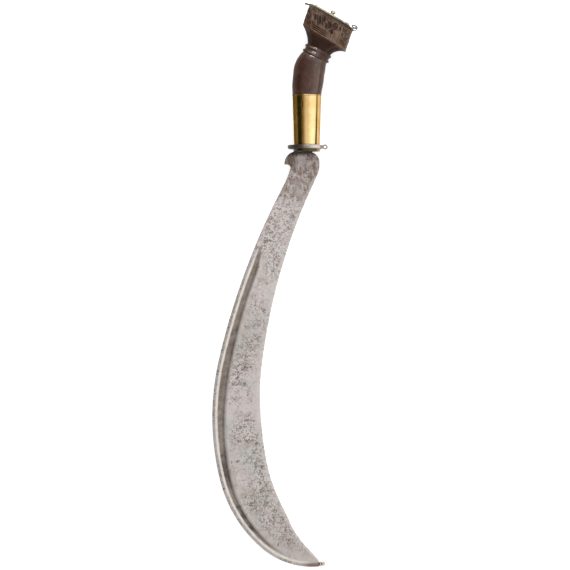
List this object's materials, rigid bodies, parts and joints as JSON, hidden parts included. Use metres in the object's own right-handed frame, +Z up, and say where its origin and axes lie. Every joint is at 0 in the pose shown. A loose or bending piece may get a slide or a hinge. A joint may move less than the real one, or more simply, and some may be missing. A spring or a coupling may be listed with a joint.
{
  "type": "sacrificial axe",
  "caption": "Sickle-bladed ritual axe with a grooved steel blade, beaked root, round guard with an eye, brass sleeve, carved wooden grip and slanted pommel with a linked ring.",
  "frame": {"origin": "on the table, under the middle of the guard; the axe lies flat with its seen face up, on the ridge of the blade's back and the rim of the guard", "axes": "+Z up from the table, +Y along the handle from blade to pommel, +X across the handle towards the side of the cutting edge and the guard's eye"},
  "size_m": [0.1751, 0.678, 0.0512],
  "materials": {
    "blade_steel": "pitted, dull polish",
    "knob_steel": "worn, brown patina",
    "guard_iron": "worn, patinated",
    "washer_brass": "worn",
    "sleeve_brass": "polished by use, dark patina in places",
    "grip_wood": "dark, polished by use",
    "resin": "matte",
    "cap_metal": "dull",
    "nail_iron": "matte",
    "eye_brass": "patinated",
    "ring_iron": "dark, worn",
    "finial_brass": "worn polish"
  },
  "bodies": {
    "axe": {"blade": "blade_steel", "tip_knob": "knob_steel", "guard": "guard_iron", "guard_washer": "washer_brass", "root_washer": "washer_brass", "grip_sleeve": "sleeve_brass", "grip": "grip_wood", "tang_resin": "resin", "pommel_cap": "cap_metal", "cap_nails": "nail_iron", "cap_eye": "eye_brass", "finial": "finial_brass", "finial_washer": "finial_brass"},
    "ring": {"pommel_ring": "ring_iron"}
  },
  "joints": [
    {"name": "ring_swing", "type": "hinge", "parent": "axe", "child": "ring", "pos_m": [0.05713, 0.14234, 0.03036], "axis": [-0.8828, -0.3764, -0.281], "range_deg": [-45, 25]}
  ]
}
